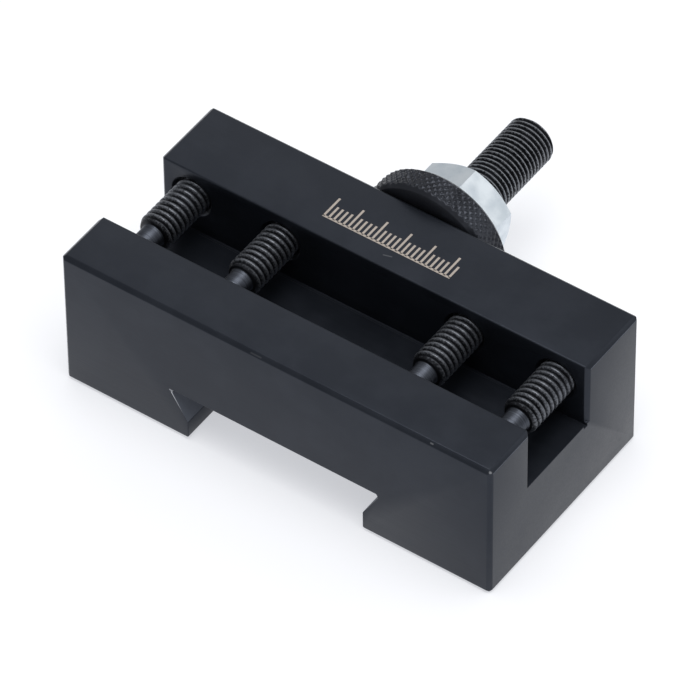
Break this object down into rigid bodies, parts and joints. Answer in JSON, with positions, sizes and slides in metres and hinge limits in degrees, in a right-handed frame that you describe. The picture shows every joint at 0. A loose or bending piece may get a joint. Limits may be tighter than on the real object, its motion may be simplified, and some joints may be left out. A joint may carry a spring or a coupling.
{
  "type": "tool holder",
  "caption": "Dovetailed turning and facing tool holder for a quick change tool post, with clamping set screws, a height stud, a knurled thumb nut and a hexagon lock nut.",
  "frame": {"origin": "middle of the dovetail recess, on the plane of the two seating flats and halfway between the front and rear faces", "axes": "+X along the tool slot, +Y along the dovetail towards the height stud, +Z from the seating flats towards the open side of the tool slot"},
  "size_m": [0.0888, 0.0782, 0.0334],
  "materials": {
    "body_black_oxide": "milled and ground steel, black oxide",
    "stud_black_oxide": "rolled thread, black oxide",
    "thumb_nut_black_oxide": "diamond knurl, black oxide",
    "lock_nut_zinc": "bright zinc plate",
    "screw_black_oxide": "rolled thread, black oxide, with a bright turned point"
  },
  "bodies": {
    "holder": {"holder_body": "body_black_oxide", "height_stud": "stud_black_oxide"},
    "thumb_nut": {"thumb_nut": "thumb_nut_black_oxide"},
    "lock_nut": {"lock_nut": "lock_nut_zinc"},
    "set_screw_1": {"set_screw_1": "screw_black_oxide"},
    "set_screw_2": {"set_screw_2": "screw_black_oxide"},
    "set_screw_3": {"set_screw_3": "screw_black_oxide"},
    "set_screw_4": {"set_screw_4": "screw_black_oxide"}
  },
  "joints": [
    {"name": "set_screw_1_travel", "type": "slide", "parent": "holder", "child": "set_screw_1", "axis": [0, 1, 0], "range_m": [0, 0.017]},
    {"name": "set_screw_2_travel", "type": "slide", "parent": "holder", "child": "set_screw_2", "axis": [0, 1, 0], "range_m": [0, 0.017]},
    {"name": "set_screw_3_travel", "type": "slide", "parent": "holder", "child": "set_screw_3", "axis": [0, 1, 0], "range_m": [0, 0.017]},
    {"name": "set_screw_4_travel", "type": "slide", "parent": "holder", "child": "set_screw_4", "axis": [0, 1, 0], "range_m": [0, 0.017]},
    {"name": "thumb_nut_height", "type": "slide", "parent": "holder", "child": "thumb_nut", "axis": [0, 1, 0], "range_m": [-0.0004, 0.018]},
    {"name": "lock_nut_turn", "type": "hinge", "parent": "thumb_nut", "child": "lock_nut", "pos_m": [0, 0.03247, 0.0196], "axis": [0, 1, 0], "continuous": true}
  ]
}
